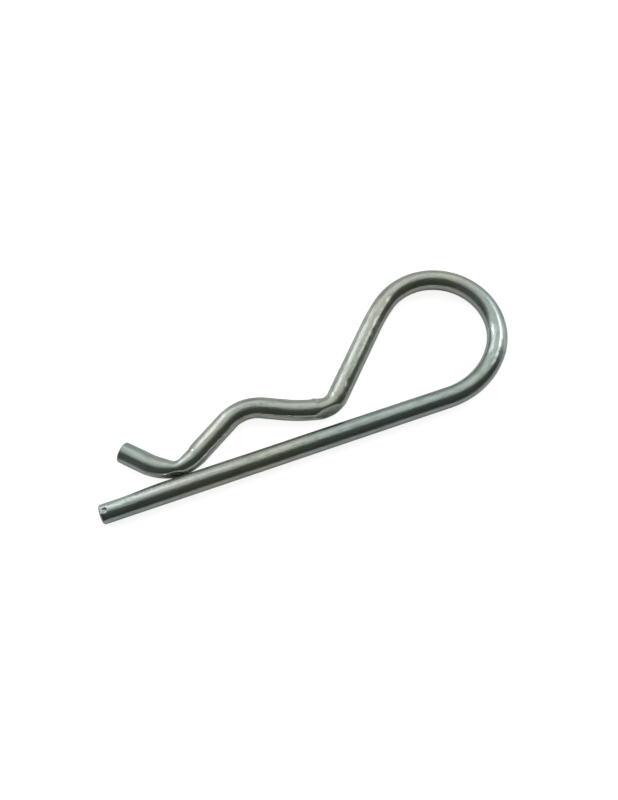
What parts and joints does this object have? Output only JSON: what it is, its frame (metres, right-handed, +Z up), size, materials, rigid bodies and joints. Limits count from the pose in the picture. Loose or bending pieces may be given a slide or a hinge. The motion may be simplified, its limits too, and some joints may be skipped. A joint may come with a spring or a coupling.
{
  "type": "hitch r clip pin",
  "caption": "Spring clip bent from round wire: a straight leg with a reduced tip, an open loop, and a bent leg with a saddle and a flared lip.",
  "frame": {"origin": "on the resting surface, below the middle of the clip's box", "axes": "+X along the straight leg from its tip to the loop, +Y towards the bent leg, +Z up, across the flat of the clip"},
  "size_m": [0.084, 0.029, 0.004],
  "materials": {
    "bright_wire": "bright zinc plate over drawn spring wire"
  },
  "bodies": {
    "root": {"r_clip": "bright_wire"}
  },
  "joints": []
}
